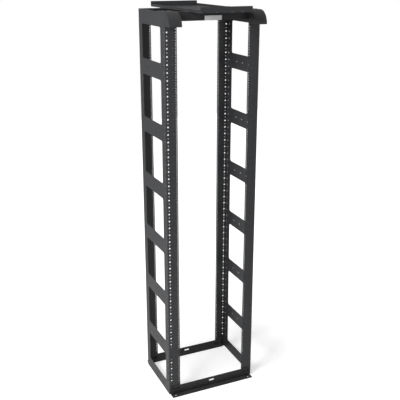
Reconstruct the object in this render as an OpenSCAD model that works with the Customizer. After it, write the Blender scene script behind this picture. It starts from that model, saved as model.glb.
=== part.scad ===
// Two post open frame rack, 51 rack units high, with deep windowed channel uprights.
// Each upright is a formed sheet channel: a flange in front, a flange behind and a
// windowed web outside. Angles tie the two uprights together at the floor and the head.

/* [Rack] */
// Height of the uprights above the floor
rack_height = 2438.4; // [1800:0.1:2600]
// Width over the outer faces of the two webs
rack_width = 603.25; // [580:0.05:640]
// Depth over the front and rear flanges
rack_depth = 412.75; // [330:0.05:480]
// Clear width between the uprights
bay_width = 450.85; // [440:0.05:455]
// Thickness of the channel sheet
sheet = 3; // [2:0.1:4]
// Outer radius of the channel bends
bend_radius = 6; // [5:0.5:8]

/* [Hole pattern] */
// Number of rack units
unit_count = 51; // [38:1:51]
// Height of the first rack unit above the floor
unit_start = 85.725; // [70:0.005:110]
// Distance between the two columns of mounting holes
mounting_pitch = 465.1; // [464.1:0.1:466.1]
// Diameter of the tapped mounting holes
mounting_bore = 5.5; // [5:0.1:6.5]
// Diameter of the large hole at the middle of each unit
tie_hole = 9.5; // [7:0.1:11]
// Diameter of the small hole between two units
small_hole = 5; // [4:0.1:6.5]
// Distance of the large holes from the corner of the channel
hole_inset = 16.5; // [14:0.1:20]

/* [Windows] */
// Width of the plain strip in front of and behind the windows
strip_width = 57.15; // [48:0.05:70]
// Distance from one web tie to the next
window_pitch = 355.6; // [320:0.1:356]
// Height of a web tie between two windows
web_tie_height = 95; // [80:0.5:110]
// Number of ties in a web
web_tie_count = 6; // [4:2:6]
// Height of the sill under the lowest window
sill_height = 82.55; // [60:0.05:100]
// Corner radius of the windows
window_radius = 12; // [8:1:20]
// Spacing of the holes along a web tie
web_tie_hole_pitch = 40; // [34:1:44]

/* [Base] */
// Length of the base angles
base_length = 584; // [540:1:600]
// Height of the standing leg of a base angle
base_leg_height = 63.5; // [50:0.5:76]
// Projection of the lying leg from the channel
base_leg_depth = 38.1; // [30:0.1:50]
// Thickness of the base and head angles
angle_thickness = 6.35; // [4:0.05:8]
// Diameter of the anchor holes
anchor_hole = 14; // [10:0.5:16]
// Distance between the anchor holes
anchor_pitch = 533.4; // [480:0.1:560]

/* [Head] */
// Height of the standing leg of a head angle
head_leg_height = 50.8; // [40:0.1:60]
// Length of the front and rear head angles
head_length = 590; // [560:1:591]
// Width of the overhead tray
tray_width = 315; // [250:1:360]
// Reach of the tray in front of and behind the channels
tray_reach = 170; // [120:1:200]
// Thickness of the tray sheet
tray_sheet = 3; // [2:0.1:4]
// Height of the side walls of the tray
tray_side_height = 12; // [8:0.5:20]
// Height of the end lips of the tray
tray_lip_height = 29; // [20:0.5:40]
// Outer radius of the waterfalls
waterfall_radius = 76.2; // [60:0.1:90]
// Reach of a waterfall leaf back over the channel
waterfall_leaf = 95; // [60:1:110]
// Width of the bare label plate
label_width = 106; // [80:1:120]
// Height of the bare label plate
label_height = 26; // [20:0.5:30]

/* [Hidden] */
unit_pitch = 44.45;
unit_hole_offsets = [6.35, 22.225, 38.1];
flange_width = (rack_width - bay_width) / 2;
half_depth = rack_depth / 2;
half_width = rack_width / 2;
window_width = rack_depth - 2 * strip_width;
foot_gap = angle_thickness;
small_clear = 0.3;
$fn = 48;

function unit_middle(index) = unit_start + (index + 0.5) * unit_pitch;
function web_tie_middle(index) =
    rack_height / 2 + (index - (web_tie_count - 1) / 2) * window_pitch;

// Flange seen from the front: x runs inwards from the outer face of the web.
module flange_outline() {
    mounting_x = half_width - mounting_pitch / 2;
    difference() {
        translate([bend_radius, foot_gap])
            square([flange_width - bend_radius, rack_height - foot_gap]);
        for (index = [0 : unit_count - 1]) {
            translate([hole_inset, unit_middle(index)])
                circle(d = tie_hole, $fn = 24);
            for (offset_z = unit_hole_offsets)
                translate([mounting_x, unit_start + index * unit_pitch + offset_z])
                    circle(d = mounting_bore, $fn = 20);
        }
        for (index = [0 : unit_count - 2])
            translate([hole_inset, unit_middle(index + 0.5)])
                circle(d = small_hole, $fn = 20);
    }
}

// Web strip seen from the side: x runs inwards from the flange face.
module strip_outline() {
    difference() {
        translate([bend_radius, foot_gap])
            square([strip_width - bend_radius, rack_height - foot_gap]);
        for (index = [0 : unit_count - 1])
            translate([hole_inset, unit_middle(index)])
                circle(d = tie_hole, $fn = 24);
        for (index = [0 : unit_count - 2])
            translate([hole_inset, unit_middle(index + 0.5)])
                circle(d = small_hole, $fn = 20);
    }
}

// Bend between flange and strip, a quarter of a ring.
module bend_outline() {
    translate([bend_radius, bend_radius])
        intersection() {
            difference() {
                circle(r = bend_radius);
                circle(r = bend_radius - sheet);
            }
            translate([-bend_radius, -bend_radius])
                square(bend_radius);
        }
}

// Rail with its outer corner on the origin, flange along +X and strip along +Y.
module rail_blank() {
    translate([0, sheet, 0])
        rotate([90, 0, 0])
            linear_extrude(sheet)
                flange_outline();
    rotate([90, 0, 90])
        linear_extrude(sheet)
            strip_outline();
    translate([0, 0, foot_gap])
        linear_extrude(rack_height - foot_gap)
            bend_outline();
}

module place_rail(side, end) {
    mirror([side > 0 ? 1 : 0, 0, 0])
        mirror([0, end > 0 ? 1 : 0, 0])
            translate([-half_width, -half_depth, 0])
                rail_blank();
}

// Spandrel that rounds a window corner.
module corner_fillet() {
    difference() {
        square(window_radius);
        translate([window_radius, window_radius])
            circle(r = window_radius);
    }
}

// Panel between the strips, with fillets above and below.
module web_panel_outline(height, above, below) {
    square([window_width, height]);
    if (above) {
        translate([0, height])
            corner_fillet();
        translate([window_width, height])
            mirror([1, 0])
                corner_fillet();
    }
    if (below) {
        mirror([0, 1])
            corner_fillet();
        translate([window_width, 0])
            rotate(180)
                corner_fillet();
    }
}

module place_web(side, bottom) {
    translate([side > 0 ? half_width - sheet : -half_width, -window_width / 2, bottom])
        rotate([90, 0, 90])
            linear_extrude(sheet)
                children();
}

module web_tie(side, index) {
    place_web(side, web_tie_middle(index) - web_tie_height / 2)
        difference() {
            web_panel_outline(web_tie_height, true, true);
            for (step = [-3 : 3])
                translate([window_width / 2 + step * web_tie_hole_pitch, web_tie_height / 2])
                    circle(d = step % 2 == 0 ? tie_hole : small_hole, $fn = 24);
        }
}

module web_sill(side) {
    place_web(side, foot_gap)
        web_panel_outline(sill_height - foot_gap, true, false);
}

module web_head(side) {
    place_web(side, rack_height - sill_height)
        web_panel_outline(sill_height, false, true);
}

// Angle profile: lying leg towards -X at the bottom, standing leg up at x = 0.
module angle_outline(leg_height, leg_depth) {
    union() {
        translate([-angle_thickness, 0])
            square([angle_thickness, leg_height]);
        translate([-leg_depth, 0])
            square([leg_depth, angle_thickness]);
    }
}

module base_angle() {
    difference() {
        translate([-base_length / 2, -half_depth, 0])
            rotate([90, 0, 90])
                linear_extrude(base_length)
                    angle_outline(base_leg_height, base_leg_depth);
        for (side = [-1, 1])
            translate([side * anchor_pitch / 2, -half_depth - base_leg_depth * 0.55, -1])
                cylinder(d = anchor_hole, h = angle_thickness + 2);
        translate([0, -half_depth + 1, base_leg_height * 0.66])
            rotate([90, 0, 0])
                linear_extrude(angle_thickness + 2)
                    union() {
                        for (side = [-1, 1])
                            translate([side * 13, 0])
                                circle(d = 12.7);
                        square([26, 12.7], center = true);
                    }
    }
}

// Standing leg behind the flanges, lying leg inwards under the tray.
module head_angle() {
    translate([-head_length / 2, -half_depth + sheet, rack_height])
        rotate([-90, 0, -90])
            linear_extrude(head_length)
                angle_outline(head_leg_height, base_leg_depth);
}

tray_half = half_depth + tray_reach;

module tray_floor() {
    color("#3c3d40")
        translate([-tray_width / 2, -tray_half, rack_height])
            cube([tray_width, 2 * tray_half, tray_sheet]);
}

module tray_side_walls() {
    color("#3c3d40")
        for (side = [-1, 1])
            translate([side * (tray_width / 2 - tray_sheet / 2), 0, rack_height + tray_sheet])
                translate([-tray_sheet / 2, -tray_half + tray_sheet, 0])
                    cube([tray_sheet, 2 * tray_half - 2 * tray_sheet, tray_side_height]);
}

module tray_lip(end) {
    color("#3c3d40")
        translate([-tray_width / 2, end > 0 ? tray_half - tray_sheet : -tray_half,
            rack_height + tray_sheet])
            cube([tray_width, tray_sheet, tray_lip_height]);
}

// Curved sheet over the front flange, from the head down to the front.
module waterfall(side) {
    inner = bay_width / 2;
    color("#38393c")
        translate([side > 0 ? inner : -half_width, -half_depth, rack_height - waterfall_radius])
            rotate([90, 0, 90])
                linear_extrude(half_width - inner)
                    union() {
                        intersection() {
                            difference() {
                                circle(r = waterfall_radius + tray_sheet, $fn = 96);
                                circle(r = waterfall_radius, $fn = 96);
                            }
                            translate([-waterfall_radius - 2 * tray_sheet, 0])
                                square([waterfall_radius + 2 * tray_sheet,
                                    waterfall_radius + 2 * tray_sheet]);
                        }
                        translate([0, waterfall_radius])
                            square([waterfall_leaf, tray_sheet]);
                    }
}

// Two quarter discs that close the ends of a waterfall.
module waterfall_cheeks(side) {
    inner = bay_width / 2;
    color("#38393c")
        for (x = side > 0 ? [inner, half_width - tray_sheet] : [-half_width, -inner - tray_sheet])
            translate([x, -half_depth - small_clear, rack_height - waterfall_radius])
                rotate([90, 0, 90])
                    linear_extrude(tray_sheet)
                        intersection() {
                            circle(r = waterfall_radius - small_clear, $fn = 96);
                            translate([-waterfall_radius, 0])
                                square(waterfall_radius);
                        }
}

module label_plate() {
    color("#e8e8e6")
        translate([-label_width / 2, -half_depth + sheet - 1,
            rack_height - head_leg_height + 0.5])
            cube([label_width, 1, label_height]);
}

module left_front_rail() { color("#4a4b4e") place_rail(-1, -1); }
module left_rear_rail() { color("#4a4b4e") place_rail(-1, 1); }
module right_front_rail() { color("#4a4b4e") place_rail(1, -1); }
module right_rear_rail() { color("#4a4b4e") place_rail(1, 1); }
module front_base_angle() { color("#2c2d2f") base_angle(); }
module rear_base_angle() { color("#2c2d2f") mirror([0, 1, 0]) base_angle(); }
module front_head_angle() { color("#3c3d40") head_angle(); }
module rear_head_angle() { color("#3c3d40") mirror([0, 1, 0]) head_angle(); }

left_front_rail();
left_rear_rail();
right_front_rail();
right_rear_rail();
color("#4a4b4e") web_tie(-1, 0);  // left_web_tie_1
color("#4a4b4e") web_tie(-1, 1);  // left_web_tie_2
color("#4a4b4e") web_tie(-1, 2);  // left_web_tie_3
color("#4a4b4e") web_tie(-1, 3);  // left_web_tie_4
color("#4a4b4e") web_tie(-1, 4);  // left_web_tie_5
color("#4a4b4e") web_tie(-1, 5);  // left_web_tie_6
color("#4a4b4e") web_sill(-1);  // left_web_sill
color("#4a4b4e") web_head(-1);  // left_web_head
color("#4a4b4e") web_tie(1, 0);  // right_web_tie_1
color("#4a4b4e") web_tie(1, 1);  // right_web_tie_2
color("#4a4b4e") web_tie(1, 2);  // right_web_tie_3
color("#4a4b4e") web_tie(1, 3);  // right_web_tie_4
color("#4a4b4e") web_tie(1, 4);  // right_web_tie_5
color("#4a4b4e") web_tie(1, 5);  // right_web_tie_6
color("#4a4b4e") web_sill(1);  // right_web_sill
color("#4a4b4e") web_head(1);  // right_web_head
front_base_angle();
rear_base_angle();
front_head_angle();
rear_head_angle();
tray_floor();
tray_side_walls();
tray_lip(-1);  // tray_front_lip
tray_lip(1);  // tray_rear_lip
waterfall(-1);  // left_waterfall
waterfall(1);  // right_waterfall
waterfall_cheeks(-1);  // left_waterfall_cheeks
waterfall_cheeks(1);  // right_waterfall_cheeks
label_plate();
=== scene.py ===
"""Looks of a two post open frame rack with deep windowed channels, built round its CAD frame."""

from __future__ import annotations

import logging
import math
from dataclasses import dataclass
from enum import Enum
from typing import Sequence

import bpy
from mathutils import Matrix, Vector


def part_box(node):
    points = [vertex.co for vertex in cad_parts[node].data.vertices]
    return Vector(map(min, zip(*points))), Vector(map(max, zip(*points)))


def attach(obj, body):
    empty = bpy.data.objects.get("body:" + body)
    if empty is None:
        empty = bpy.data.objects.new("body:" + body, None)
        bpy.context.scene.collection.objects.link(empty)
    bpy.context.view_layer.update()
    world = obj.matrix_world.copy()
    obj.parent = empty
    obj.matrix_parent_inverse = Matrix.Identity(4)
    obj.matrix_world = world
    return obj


LOG = logging.getLogger("rack")
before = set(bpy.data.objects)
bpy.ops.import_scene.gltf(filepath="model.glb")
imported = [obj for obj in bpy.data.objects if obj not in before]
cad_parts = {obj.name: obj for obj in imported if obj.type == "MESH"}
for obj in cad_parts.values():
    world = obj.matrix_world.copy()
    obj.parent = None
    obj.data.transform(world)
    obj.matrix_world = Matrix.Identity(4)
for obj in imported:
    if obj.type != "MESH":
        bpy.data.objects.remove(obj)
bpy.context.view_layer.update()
MM = 0.001
UNIT = 44.45 * MM
UNIT_START = 85.725 * MM
UNIT_COUNT = 51
Colour = tuple[float, float, float]
WHITE = (1.0, 1.0, 1.0)
BARE_METAL = (0.32, 0.32, 0.33)
DUST_AND_TOP_LIGHT_COLOUR = (0.3, 0.29, 0.27)
COAT_MOTTLE = (0.86, 1.16)
PLAIN_MOTTLE = (0.9, 1.1)
PLAIN_SHEEN_SPREAD = 0.06
PEEL_HEIGHT = 0.0004
WORN_EDGE = 0.0016
CHIP_SCALE = 55.0
CHIP_SHARE = 0.56
DUST_AND_TOP_LIGHT_SCALE = 14.0


class Facing(Enum):
    """The way that a fastener's head looks."""

    FRONT = "front"
    REAR = "rear"
    UP = "up"

    def turned(self, point: Sequence[float]) -> tuple[float, float, float]:
        """Turns a point of a fastener drawn looking up.

        Args:
            point: the point, with its third value along the fastener's axis.

        Returns:
            The point in the frame.
        """
        across, along, out = point
        if self is Facing.FRONT:
            return (across, -out, along)
        if self is Facing.REAR:
            return (-across, out, along)
        return (across, along, out)

    @property
    def axis(self) -> tuple[float, float, float]:
        """The axis that a fastener is turned about."""
        return (0.0, 0.0, 1.0) if self is Facing.UP else (0.0, 1.0, 0.0)


# ---------------------------------------------------------------------------
# Shader node groups
# ---------------------------------------------------------------------------


class GroupSocket:
    def __init__(self, name: str) -> None:
        """Starts a new shader group.

        Args:
            name: name of the group.
        """
        self.tree = bpy.data.node_groups.new(name, "ShaderNodeTree")
        self.enter = self.tree.nodes.new("NodeGroupInput")
        self.leave = self.tree.nodes.new("NodeGroupOutput")

    def value_in(self, name: str, default: float) -> bpy.types.NodeSocket:
        """Adds a float input.

        Args:
            name: socket name.
            default: value when nothing is set.

        Returns:
            The socket on the group's input node.
        """
        item = self.tree.interface.new_socket(name, in_out="INPUT", socket_type="NodeSocketFloat")
        item.default_value = default
        return self.enter.outputs[name]

    def vector_in(self, name: str, default: Sequence[float] = (0, 0, 0)) -> bpy.types.NodeSocket:
        """Adds a vector input.

        Args:
            name: socket name.
            default: value when nothing is set.

        Returns:
            The socket on the group's input node.
        """
        item = self.tree.interface.new_socket(name, in_out="INPUT", socket_type="NodeSocketVector")
        item.default_value = default
        return self.enter.outputs[name]

    def value_out(self, name: str, source: bpy.types.NodeSocket) -> None:
        """Adds a float output and feeds it.

        Args:
            name: socket name.
            source: socket that gives the value.
        """
        self.tree.interface.new_socket(name, in_out="OUTPUT", socket_type="NodeSocketFloat")
        self.tree.links.new(source, self.leave.inputs[name])

    def math(self, operation: str, a: bpy.types.NodeSocket | float,
             b: bpy.types.NodeSocket | float, clamp: bool = False) -> bpy.types.NodeSocket:
        """Adds a Math node.

        Args:
            operation: Blender's name of the operation.
            a: first operand, a socket or a number.
            b: second operand, a socket or a number.
            clamp: whether the result is kept from 0 to 1.

        Returns:
            The result socket.
        """
        node = self.tree.nodes.new("ShaderNodeMath")
        node.operation = operation
        node.use_clamp = clamp
        for index, value in enumerate((a, b)):
            if isinstance(value, (int, float)):
                node.inputs[index].default_value = value
            else:
                self.tree.links.new(value, node.inputs[index])
        return node.outputs[0]

    def noise(self, vector: bpy.types.NodeSocket, scale: bpy.types.NodeSocket | float,
              detail: float, rough: float) -> bpy.types.NodeSocket:
        """Adds a Noise Texture.

        Args:
            vector: coordinate socket.
            scale: scale socket or number.
            detail: octaves of the noise.
            rough: roughness of the octaves.

        Returns:
            The noise factor.
        """
        node = self.tree.nodes.new("ShaderNodeTexNoise")
        self.tree.links.new(vector, node.inputs["Vector"])
        if isinstance(scale, (int, float)):
            node.inputs["Scale"].default_value = scale
        else:
            self.tree.links.new(scale, node.inputs["Scale"])
        node.inputs["Detail"].default_value = detail
        node.inputs["Roughness"].default_value = rough
        return node.outputs["Fac"]


def build_powder_group() -> bpy.types.ShaderNodeTree:
    """Powder coat: the fine orange peel of sprayed and baked paint.

    Returns:
        The group, with a Height output for the peel and a Mottle output for its tone.
    """
    group = GroupSocket("powder_coat")
    where = group.vector_in("Where")
    grain = group.value_in("Grain scale", 420.0)
    mottle_scale = group.value_in("Mottle scale", 9.0)
    fine = group.noise(where, grain, 3.0, 0.6)
    coarse = group.noise(where, mottle_scale, 4.0, 0.55)
    group.value_out("Height", fine)
    group.value_out("Mottle", coarse)
    return group.tree


def build_edge_group() -> bpy.types.ShaderNodeTree:
    """Wear along the edges of the box that a piece fills.

    Returns:
        The group, with a Wear output from 0 to 1.
    """
    group = GroupSocket("edge_wear")
    where = group.vector_in("Where")
    low = group.vector_in("Low")
    high = group.vector_in("High", (1, 1, 1))
    width = group.value_in("Width", 0.002)
    nodes, links = group.tree.nodes, group.tree.links
    split = []
    for socket in (where, low, high):
        node = nodes.new("ShaderNodeSeparateXYZ")
        links.new(socket, node.inputs[0])
        split.append(node)
    near = []
    for axis in range(3):
        below = group.math("SUBTRACT", split[0].outputs[axis], split[1].outputs[axis])
        above = group.math("SUBTRACT", split[2].outputs[axis], split[0].outputs[axis])
        gap = group.math("MINIMUM", below, above)
        share = group.math("DIVIDE", gap, width)
        near.append(group.math("SUBTRACT", 1.0, share, clamp=True))
    pair_a = group.math("MULTIPLY", near[0], near[1])
    pair_b = group.math("MULTIPLY", near[1], near[2])
    pair_c = group.math("MULTIPLY", near[0], near[2])
    edge = group.math("MAXIMUM", group.math("MAXIMUM", pair_a, pair_b), pair_c)
    patch = group.noise(where, CHIP_SCALE, 4.0, 0.65)
    chips = group.math("GREATER_THAN", patch, CHIP_SHARE)
    group.value_out("Wear", group.math("MULTIPLY", edge, chips, clamp=True))
    return group.tree


def build_dust_group() -> bpy.types.ShaderNodeTree:
    """Dust that settles on faces that look up, and painted top light: the same lighter colour on
    those faces also stands in for light falling on them.

    Returns:
        The group, with a Dust and top light output from 0 to 1.
    """
    group = GroupSocket("dust_and_painted_top_light")
    where = group.vector_in("Where")
    normal = group.vector_in("Facing")
    amount = group.value_in("Amount", 0.2)
    split = group.tree.nodes.new("ShaderNodeSeparateXYZ")
    group.tree.links.new(normal, split.inputs[0])
    # Painted top light: faces that look up are lightened with the dust colour, partly as dust and
    # partly as light falling from above.
    up = group.math("MAXIMUM", split.outputs[2], 0.0)
    cloud = group.noise(where, DUST_AND_TOP_LIGHT_SCALE, 5.0, 0.6)
    lay = group.math("MULTIPLY", group.math("MULTIPLY", up, cloud), amount, clamp=True)
    group.value_out("Dust and top light", lay)
    return group.tree


# ---------------------------------------------------------------------------
# Finishes
# ---------------------------------------------------------------------------


class Surface:
    """A material with a Principled shader that the effect groups feed."""

    def __init__(self, name: str) -> None:
        """Starts the material.

        Args:
            name: name of the material.
        """
        self.material = bpy.data.materials.new(name)
        self.material.use_nodes = True
        self.nodes = self.material.node_tree.nodes
        self.links = self.material.node_tree.links
        self.nodes.clear()
        out = self.nodes.new("ShaderNodeOutputMaterial")
        self.shader = self.nodes.new("ShaderNodeBsdfPrincipled")
        self.links.new(self.shader.outputs[0], out.inputs["Surface"])
        self.where = self.nodes.new("ShaderNodeTexCoord")

    def effect(self, name: str) -> bpy.types.Node:
        """Adds an effect group that reads object coordinates.

        Args:
            name: name of the group.

        Returns:
            The group's node.
        """
        node = self.nodes.new("ShaderNodeGroup")
        node.node_tree = bpy.data.node_groups[name]
        self.links.new(self.where.outputs["Object"], node.inputs["Where"])
        return node

    def mix(self, share: bpy.types.NodeSocket, first: bpy.types.NodeSocket | Colour,
            second: Colour) -> bpy.types.NodeSocket:
        """Mixes two colours.

        Args:
            share: share of the second colour.
            first: the first colour, or a socket that gives it.
            second: the second colour.

        Returns:
            The mixed colour.
        """
        node = self.nodes.new("ShaderNodeMixRGB")
        self.links.new(share, node.inputs["Fac"])
        if isinstance(first, bpy.types.NodeSocket):
            self.links.new(first, node.inputs["Color1"])
        else:
            node.inputs["Color1"].default_value = (*first, 1)
        node.inputs["Color2"].default_value = (*second, 1)
        return node.outputs[0]

    def mottled(self, share: bpy.types.NodeSocket, colour: Colour,
                spread: tuple[float, float]) -> bpy.types.NodeSocket:
        """Varies a colour between a darker and a lighter tone.

        Args:
            share: share of the lighter tone.
            colour: the colour between them.
            spread: factors of the darker and the lighter tone.

        Returns:
            The varied colour.
        """
        dark, light = ([min(1.0, part * factor) for part in colour] for factor in spread)
        return self.mix(share, dark, light)

    def roughen(self, share: bpy.types.NodeSocket, middle: float, spread: float) -> None:
        """Varies the roughness round its middle.

        Args:
            share: where the roughness lies from its least to its most.
            middle: the roughness between them.
            spread: how far it goes either way.
        """
        node = self.nodes.new("ShaderNodeMapRange")
        node.inputs["To Min"].default_value = middle - spread
        node.inputs["To Max"].default_value = middle + spread
        self.links.new(share, node.inputs["Value"])
        self.links.new(node.outputs[0], self.shader.inputs["Roughness"])


@dataclass(frozen=True)
class PowderCoat:
    """Black satin powder coat with orange peel, chipped edges, and a little dust that also paints
    top light on faces that look up.
    """

    name: str
    colour: Colour
    roughness: float = 0.42
    bump: float = 0.12
    grain_scale: float = 420.0
    wear: float = 0.35
    dust: float = 0.12
    specular: float = 0.5
    sheen_spread: float = 0.08

    def make(self, low: Vector, high: Vector) -> bpy.types.Material:
        """Builds the material for a piece that fills a box.

        Args:
            low: lowest corner of the piece.
            high: highest corner of the piece.

        Returns:
            The material.
        """
        surface = Surface(self.name)
        links, shader = surface.links, surface.shader
        powder = surface.effect("powder_coat")
        powder.inputs["Grain scale"].default_value = self.grain_scale
        edge = surface.effect("edge_wear")
        edge.inputs["Low"].default_value = low
        edge.inputs["High"].default_value = high
        edge.inputs["Width"].default_value = WORN_EDGE
        dust = surface.effect("dust_and_painted_top_light")
        links.new(surface.where.outputs["Normal"], dust.inputs["Facing"])
        dust.inputs["Amount"].default_value = self.dust
        wear = surface.nodes.new("ShaderNodeMath")
        wear.operation = "MULTIPLY"
        wear.inputs[1].default_value = self.wear
        links.new(edge.outputs["Wear"], wear.inputs[0])
        coat = surface.mottled(powder.outputs["Mottle"], self.colour, COAT_MOTTLE)
        worn = surface.mix(wear.outputs[0], coat, BARE_METAL)
        # Painted top light: the dust colour on faces that look up stands in partly for light
        # falling from above.
        dusty_and_top_lit = surface.mix(dust.outputs["Dust and top light"], worn, DUST_AND_TOP_LIGHT_COLOUR)
        links.new(dusty_and_top_lit, shader.inputs["Base Color"])
        surface.roughen(powder.outputs["Mottle"], self.roughness, self.sheen_spread)
        shader.inputs["Specular IOR Level"].default_value = self.specular
        bump = surface.nodes.new("ShaderNodeBump")
        bump.inputs["Strength"].default_value = self.bump
        bump.inputs["Distance"].default_value = PEEL_HEIGHT
        links.new(powder.outputs["Height"], bump.inputs["Height"])
        links.new(bump.outputs[0], shader.inputs["Normal"])
        return surface.material


@dataclass(frozen=True)
class PlainFinish:
    """A finish with a little mottle, for plates, inks and plated fasteners."""

    name: str
    colour: Colour
    roughness: float = 0.35
    metallic: float = 0.0
    mottle_scale: float = 60.0

    def make(self) -> bpy.types.Material:
        """Builds the material.

        Returns:
            The material.
        """
        surface = Surface(self.name)
        powder = surface.effect("powder_coat")
        powder.inputs["Mottle scale"].default_value = self.mottle_scale
        tone = surface.mottled(powder.outputs["Mottle"], self.colour, PLAIN_MOTTLE)
        surface.links.new(tone, surface.shader.inputs["Base Color"])
        surface.roughen(powder.outputs["Mottle"], self.roughness, PLAIN_SHEEN_SPREAD)
        surface.shader.inputs["Metallic"].default_value = self.metallic
        return surface.material


CHANNEL_COAT = PowderCoat("channel_powder_coat", (0.0306, 0.0314, 0.0340))
ANGLE_COAT = PowderCoat("angle_powder_coat", (0.0170, 0.0170, 0.0187), roughness=0.5, wear=0.5)
SHEET_COAT = PowderCoat("sheet_powder_coat", (0.0255, 0.0263, 0.0289), roughness=0.4)
LABEL_WHITE = PlainFinish("bare_label_white", (0.78, 0.78, 0.77), 0.4)
BLACK_OXIDE = PlainFinish("black_oxide", (0.03, 0.03, 0.032), 0.4, 0.6)
NUMBER_INK = PlainFinish("unit_number_ink", (0.20, 0.20, 0.20), 0.5)


def coat_for(node: str) -> PowderCoat:
    """Chooses the coat of a CAD node.

    Args:
        node: name of the node.

    Returns:
        The coat.
    """
    if "angle" in node:
        return ANGLE_COAT
    if "tray" in node or "waterfall" in node:
        return SHEET_COAT
    return CHANNEL_COAT


def dress_nodes() -> None:
    """Gives each CAD node its finish."""
    for name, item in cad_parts.items():
        if name == "label_plate":
            material = LABEL_WHITE.make()
        else:
            low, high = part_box(name)
            material = coat_for(name).make(low, high)
        for slot in item.material_slots:
            slot.material = material
        LOG.info("dressed %s", name)


# ---------------------------------------------------------------------------
# Fasteners and unit numbers
# ---------------------------------------------------------------------------


@dataclass(frozen=True)
class Turned:
    """A closed solid made of rings round one axis, in millimetres."""

    rings: tuple[tuple[float, float], ...]
    sides: int


WASHER = Turned(((10.5, -0.2), (10.5, 1.7), (10.2, 2.0)), 24)
HEX_HEAD = Turned(((9.8, 1.9), (9.8, 7.6), (8.9, 8.4)), 6)
HEX_NUT = Turned(((8.9, 1.9), (9.8, 2.7), (9.8, 9.2), (8.9, 10.0)), 6)
BOLT_END = Turned(((5.0, 9.8), (5.0, 12.4), (4.2, 13.0)), 12)
PAN_HEAD = Turned(((4.5, -0.2), (4.5, 1.3), (3.9, 2.2), (2.6, 2.8), (1.7, 2.8), (1.6, 1.3)), 16)
BOLT = (WASHER, HEX_HEAD)
NUT = (WASHER, HEX_NUT, BOLT_END)
SCREW = (PAN_HEAD,)


def fastener_mesh(name: str, solids: Sequence[Turned], facing: Facing) -> bpy.types.Mesh:
    """Makes the mesh of one fastener at the origin.

    Args:
        name: name of the mesh.
        solids: the solids that it is made of.
        facing: the way that its head looks.

    Returns:
        The mesh.
    """
    points: list[tuple[float, float, float]] = []
    faces: list[tuple[int, ...]] = []
    for solid in solids:
        first, sides = len(points), solid.sides
        for radius, out in solid.rings:
            for step in range(sides):
                angle = math.tau * step / sides
                points.append(facing.turned((radius * math.cos(angle) * MM,
                                             radius * math.sin(angle) * MM, out * MM)))
        for ring in range(len(solid.rings) - 1):
            low = first + ring * sides
            for step in range(sides):
                after = (step + 1) % sides
                faces.append((low + step, low + after, low + sides + after, low + sides + step))
        top = first + (len(solid.rings) - 1) * sides
        faces.append(tuple(first + step for step in reversed(range(sides))))
        faces.append(tuple(top + step for step in range(sides)))
    mesh = bpy.data.meshes.new(name)
    mesh.from_pydata(points, [], faces)
    return mesh


class FastenerTree:
    """Geometry nodes that set one fastener on each point, each turned its own way."""

    def __init__(self) -> None:
        """Builds the tree with its named inputs."""
        tree = bpy.data.node_groups.new("fasteners_on_points", "GeometryNodeTree")
        self.tree = tree
        for name, kind in (("Geometry", "Geometry"), ("Fastener", "Object"), ("Axis", "Vector"),
                           ("Seed", "Int"), ("Finish", "Material")):
            tree.interface.new_socket(name, in_out="INPUT", socket_type="NodeSocket" + kind)
        tree.interface.new_socket("Geometry", in_out="OUTPUT", socket_type="NodeSocketGeometry")
        nodes, links = tree.nodes, tree.links
        enter = nodes.new("NodeGroupInput")
        leave = nodes.new("NodeGroupOutput")
        shape = nodes.new("GeometryNodeObjectInfo")
        links.new(enter.outputs["Fastener"], shape.inputs["Object"])
        chance = nodes.new("FunctionNodeRandomValue")
        chance.data_type = "FLOAT"
        chance.inputs[2].default_value = -math.pi
        chance.inputs[3].default_value = math.pi
        links.new(enter.outputs["Seed"], chance.inputs["Seed"])
        turn = nodes.new("ShaderNodeVectorMath")
        turn.operation = "SCALE"
        links.new(enter.outputs["Axis"], turn.inputs[0])
        links.new(chance.outputs[1], turn.inputs["Scale"])
        spread = nodes.new("GeometryNodeInstanceOnPoints")
        links.new(enter.outputs["Geometry"], spread.inputs["Points"])
        links.new(shape.outputs["Geometry"], spread.inputs["Instance"])
        links.new(turn.outputs[0], spread.inputs["Rotation"])
        real = nodes.new("GeometryNodeRealizeInstances")
        links.new(spread.outputs[0], real.inputs[0])
        finish = nodes.new("GeometryNodeSetMaterial")
        links.new(real.outputs[0], finish.inputs["Geometry"])
        links.new(enter.outputs["Finish"], finish.inputs["Material"])
        links.new(finish.outputs[0], leave.inputs[0])

    def socket(self, name: str) -> str:
        """Finds the identifier of a named input.

        Args:
            name: name of the input.

        Returns:
            Its identifier.
        """
        for item in self.tree.interface.items_tree:
            if item.name == name and item.in_out == "INPUT":
                return item.identifier
        raise KeyError(name)


@dataclass
class FastenerRow:
    """Like fasteners on a list of points, made one plain mesh."""

    name: str
    solids: Sequence[Turned]
    facing: Facing
    points: Sequence[tuple[float, float, float]]
    seed: int

    def build(self, tree: FastenerTree, finish: bpy.types.Material) -> bpy.types.Object:
        """Builds the row.

        Args:
            tree: the geometry nodes to use.
            finish: material of the fasteners.

        Returns:
            The finished piece, riding on the rack.
        """
        collection = bpy.context.scene.collection
        shape = bpy.data.objects.new(self.name + "_shape",
                                     fastener_mesh(self.name + "_shape", self.solids, self.facing))
        collection.objects.link(shape)
        mesh = bpy.data.meshes.new(self.name)
        mesh.from_pydata(list(self.points), [], [])
        piece = bpy.data.objects.new(self.name, mesh)
        collection.objects.link(piece)
        spread = piece.modifiers.new("fasteners", "NODES")
        spread.node_group = tree.tree
        spread[tree.socket("Fastener")] = shape
        spread[tree.socket("Axis")] = self.facing.axis
        spread[tree.socket("Seed")] = self.seed
        spread[tree.socket("Finish")] = finish
        view = bpy.context.evaluated_depsgraph_get()
        made = bpy.data.meshes.new_from_object(piece.evaluated_get(view), depsgraph=view)
        piece.modifiers.clear()
        piece.data = made
        bpy.data.objects.remove(shape)
        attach(piece, "root")
        LOG.info("built %s with %d faces", self.name, len(made.polygons))
        return piece


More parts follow.
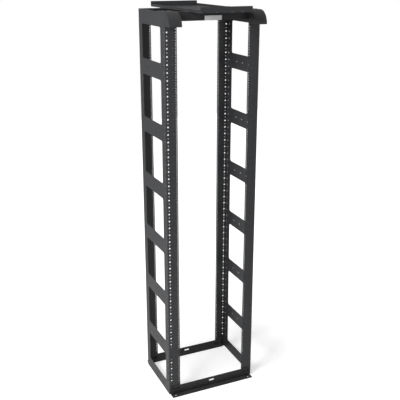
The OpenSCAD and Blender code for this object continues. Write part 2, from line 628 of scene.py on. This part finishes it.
@dataclass
class AngleBolts:
    """Hex bolts with nuts that hold the base and head angles to the flanges."""

    near_edge: float = 14.6 * MM
    far_edge: float = 51.6 * MM
    base_height: float = 38.0 * MM
    head_drop: float = 25.4 * MM

    def places(self, node: str, depth: float, height: float) -> list[tuple[float, float, float]]:
        """Lists the points over both flanges.

        Args:
            node: a rail whose flange is bolted.
            depth: where the fasteners seat.
            height: height above the floor.

        Returns:
            Four points.
        """
        low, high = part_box(node)
        inner = min(abs(low.x), abs(high.x))
        return [(side * (inner + edge), depth, height)
                for side in (-1, 1) for edge in (self.near_edge, self.far_edge)]

    def rows(self) -> list[FastenerRow]:
        """Lists the rows of both angles at both ends.

        Returns:
            Eight rows.
        """
        rail_low, rail_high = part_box("left_front_rail")
        sill_low, sill_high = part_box("left_web_sill")
        face, sheet = rail_low.y, sill_high.x - sill_low.x
        angle = rail_low.z  # a rail stands on the lying leg, so its foot is one angle sheet up
        top = rail_high.z - self.head_drop
        rows = []
        for end, sign, out, back in (("front", 1, Facing.FRONT, Facing.REAR),
                                     ("rear", -1, Facing.REAR, Facing.FRONT)):
            rail = "left_%s_rail" % end
            spots = (("base_bolts", BOLT, out, face - angle, self.base_height),
                     ("base_nuts", NUT, back, face + sheet, self.base_height),
                     ("head_bolts", BOLT, out, face, top),
                     ("head_nuts", NUT, back, face + sheet + angle, top))
            for seed, (name, solids, facing, depth, height) in enumerate(spots):
                rows.append(FastenerRow("%s_%s" % (end, name), solids, facing,
                                        self.places(rail, sign * depth, height), 11 + seed))
        return rows


@dataclass
class SheetScrews:
    """Pan head screws that hold the trough and the waterfalls to the head angles."""

    inset: float = 20.0 * MM
    side_gap: float = 26.0 * MM

    def rows(self) -> list[FastenerRow]:
        """Lists the rows.

        Returns:
            The trough's row and the waterfalls' row.
        """
        low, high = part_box("tray_floor")
        face = -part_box("left_front_rail")[0].y
        tray = [(x, y, high.z) for x in (low.x + self.side_gap, high.x - self.side_gap)
                for y in (self.inset - face, face - self.inset)]
        leaf = []
        for node in ("left_waterfall", "right_waterfall"):
            low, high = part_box(node)
            leaf += [(low.x + share * (high.x - low.x), self.inset - face, high.z)
                     for share in (0.25, 0.75)]
        return [FastenerRow("trough_screws", SCREW, Facing.UP, tray, 31),
                FastenerRow("waterfall_screws", SCREW, Facing.UP, leaf, 32)]


@dataclass
class UnitNumbers:
    """Small numbers printed beside each rack unit on the front flanges."""

    height: float = 7.0 * MM
    inset: float = 49.5 * MM
    proud: float = 0.15 * MM

    def digits(self, number: int) -> tuple[list[Vector], list[tuple[int, ...]]]:
        """Makes the flat shape of one number.

        Args:
            number: the number to print.

        Returns:
            Its points and faces, centred on the origin.
        """
        curve = bpy.data.curves.new("number", "FONT")
        curve.body = str(number)
        curve.size = self.height
        curve.align_x = "CENTER"
        curve.align_y = "CENTER"
        curve.resolution_u = 2
        text = bpy.data.objects.new("number", curve)
        bpy.context.scene.collection.objects.link(text)
        view = bpy.context.evaluated_depsgraph_get()
        mesh = bpy.data.meshes.new_from_object(text.evaluated_get(view), depsgraph=view)
        shape = ([v.co.copy() for v in mesh.vertices], [tuple(p.vertices) for p in mesh.polygons])
        bpy.data.objects.remove(text)
        bpy.data.meshes.remove(mesh)
        return shape

    def build(self, finish: bpy.types.Material) -> None:
        """Prints the numbers on both flanges.

        Args:
            finish: material of the ink.
        """
        shapes = [self.digits(index + 1) for index in range(UNIT_COUNT)]
        for side, sign in (("left", -1), ("right", 1)):
            low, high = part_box("%s_front_rail" % side)
            middle = sign * (max(abs(low.x), abs(high.x)) - self.inset)
            points, faces = [], []
            for index, (corners, sides) in enumerate(shapes):
                first = len(points)
                rise = UNIT_START + (index + 0.5) * UNIT
                points += [(middle + c.x, low.y - self.proud, rise + c.y) for c in corners]
                faces += [tuple(first + i for i in side_points) for side_points in sides]
            mesh = bpy.data.meshes.new("%s_unit_numbers" % side)
            mesh.from_pydata(points, [], faces)
            mesh.materials.append(finish)
            piece = bpy.data.objects.new("%s_unit_numbers" % side, mesh)
            bpy.context.scene.collection.objects.link(piece)
            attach(piece, "root")
            LOG.info("printed %s with %d faces", piece.name, len(faces))


# ---------------------------------------------------------------------------
# Stage
# ---------------------------------------------------------------------------


@dataclass(frozen=True)
class Lamp:
    """A square lamp that looks at the middle of the rack."""

    name: str
    place: tuple[float, float, float]
    size: float
    power: float
    aim: tuple[float, float, float] = (0.0, 0.0, 1.2)

    def hang(self) -> None:
        """Hangs the lamp."""
        data = bpy.data.lights.new(self.name, "AREA")
        data.size = self.size
        data.energy = self.power
        lamp = bpy.data.objects.new(self.name, data)
        bpy.context.scene.collection.objects.link(lamp)
        lamp.location = self.place
        look = Vector(self.aim) - Vector(self.place)
        lamp.rotation_euler = look.to_track_quat("-Z", "Y").to_euler()


@dataclass
class Studio:
    """Pale floor, white background, soft lamps and the camera."""

    camera_place: tuple[float, float, float] = (-1.7174, -3.8103, 2.6710)
    yaw: float = 0.4257
    pitch: float = 0.3271
    roll: float = 0.0004
    lens: float = 61.766
    sensor: float = 36.0
    clip_end: float = 60.0
    floor_half: float = 8.0
    floor_grey: float = 0.8
    lamps: tuple[Lamp, ...] = (Lamp("key", (-3.4, -1.6, 3.6), 2.2, 230.0),
                               Lamp("fill", (2.6, -4.0, 2.4), 2.0, 8.0))
    sky: float = 0.28
    floor_lift: float = 0.55
    shadow_reach: float = 0.6
    white_reach: float = 1.6

    def build(self) -> None:
        """Builds the whole stage."""
        self.build_camera()
        self.build_floor()
        self.build_world()
        for lamp in self.lamps:
            lamp.hang()
        bpy.context.scene.view_settings.view_transform = "Standard"

    def build_camera(self) -> None:
        """Places the camera left of and above the rack."""
        data = bpy.data.cameras.new("camera")
        data.lens = self.lens
        data.sensor_width = self.sensor
        data.clip_end = self.clip_end
        camera = bpy.data.objects.new("camera", data)
        bpy.context.scene.collection.objects.link(camera)
        ahead = Vector((math.sin(self.yaw) * math.cos(self.pitch),
                        math.cos(self.yaw) * math.cos(self.pitch), -math.sin(self.pitch)))
        level = Vector((math.cos(self.yaw), -math.sin(self.yaw), 0.0))
        upward = level.cross(ahead)
        right = level * math.cos(self.roll) + upward * math.sin(self.roll)
        up = upward * math.cos(self.roll) - level * math.sin(self.roll)
        turn = Matrix((right, up, -ahead)).transposed().to_4x4()
        camera.matrix_world = Matrix.Translation(self.camera_place) @ turn
        bpy.context.scene.camera = camera

    def build_floor(self) -> None:
        """Lays a pale floor that keeps the rack's shadow."""
        mesh = bpy.data.meshes.new("floor")
        half = self.floor_half
        mesh.from_pydata([(-half, -half, 0), (half, -half, 0), (half, half, 0), (-half, half, 0)],
                         [], [(0, 1, 2, 3)])
        floor = bpy.data.objects.new("floor", mesh)
        bpy.context.scene.collection.objects.link(floor)
        material = bpy.data.materials.new("pale_floor")
        material.use_nodes = True
        nodes, links = material.node_tree.nodes, material.node_tree.links
        nodes.clear()
        out = nodes.new("ShaderNodeOutputMaterial")
        matte = nodes.new("ShaderNodeBsdfDiffuse")
        matte.inputs["Color"].default_value = (*[self.floor_grey] * 3, 1)
        glow = nodes.new("ShaderNodeEmission")
        path = nodes.new("ShaderNodeLightPath")
        lift = nodes.new("ShaderNodeMath")
        lift.operation = "MULTIPLY"
        links.new(path.outputs["Is Camera Ray"], lift.inputs[0])
        where = nodes.new("ShaderNodeTexCoord")
        away = nodes.new("ShaderNodeVectorMath")
        away.operation = "LENGTH"
        links.new(where.outputs["Object"], away.inputs[0])
        fade = nodes.new("ShaderNodeMapRange")
        fade.inputs["From Min"].default_value = self.shadow_reach
        fade.inputs["From Max"].default_value = self.white_reach
        fade.inputs["To Min"].default_value = self.floor_lift
        fade.inputs["To Max"].default_value = 1.0
        links.new(away.outputs["Value"], fade.inputs["Value"])
        links.new(fade.outputs[0], lift.inputs[1])
        links.new(lift.outputs[0], glow.inputs["Strength"])
        both = nodes.new("ShaderNodeAddShader")
        links.new(matte.outputs[0], both.inputs[0])
        links.new(glow.outputs[0], both.inputs[1])
        links.new(both.outputs[0], out.inputs["Surface"])
        mesh.materials.append(material)

    def build_world(self) -> None:
        """Makes a soft pale surround, white to the camera."""
        world = bpy.data.worlds.new("surround")
        bpy.context.scene.world = world
        world.use_nodes = True
        nodes, links = world.node_tree.nodes, world.node_tree.links
        nodes.clear()
        out = nodes.new("ShaderNodeOutputWorld")
        soft = nodes.new("ShaderNodeBackground")
        soft.inputs["Color"].default_value = (*WHITE, 1)
        soft.inputs["Strength"].default_value = self.sky
        white = nodes.new("ShaderNodeBackground")
        white.inputs["Color"].default_value = (*WHITE, 1)
        white.inputs["Strength"].default_value = 1.0
        path = nodes.new("ShaderNodeLightPath")
        choose = nodes.new("ShaderNodeMixShader")
        links.new(path.outputs["Is Camera Ray"], choose.inputs[0])
        links.new(soft.outputs[0], choose.inputs[1])
        links.new(white.outputs[0], choose.inputs[2])
        links.new(choose.outputs[0], out.inputs["Surface"])


def main() -> None:
    """Builds the stage, the finishes and the pieces in order."""
    logging.basicConfig(level=logging.INFO, format="%(name)s: %(message)s")
    Studio().build()
    build_powder_group()
    build_edge_group()
    build_dust_group()
    dress_nodes()
    tree = FastenerTree()
    oxide = BLACK_OXIDE.make()
    for row in AngleBolts().rows() + SheetScrews().rows():
        row.build(tree, oxide)
    UnitNumbers().build(NUMBER_INK.make())


if __name__ == "__main__":
    main()
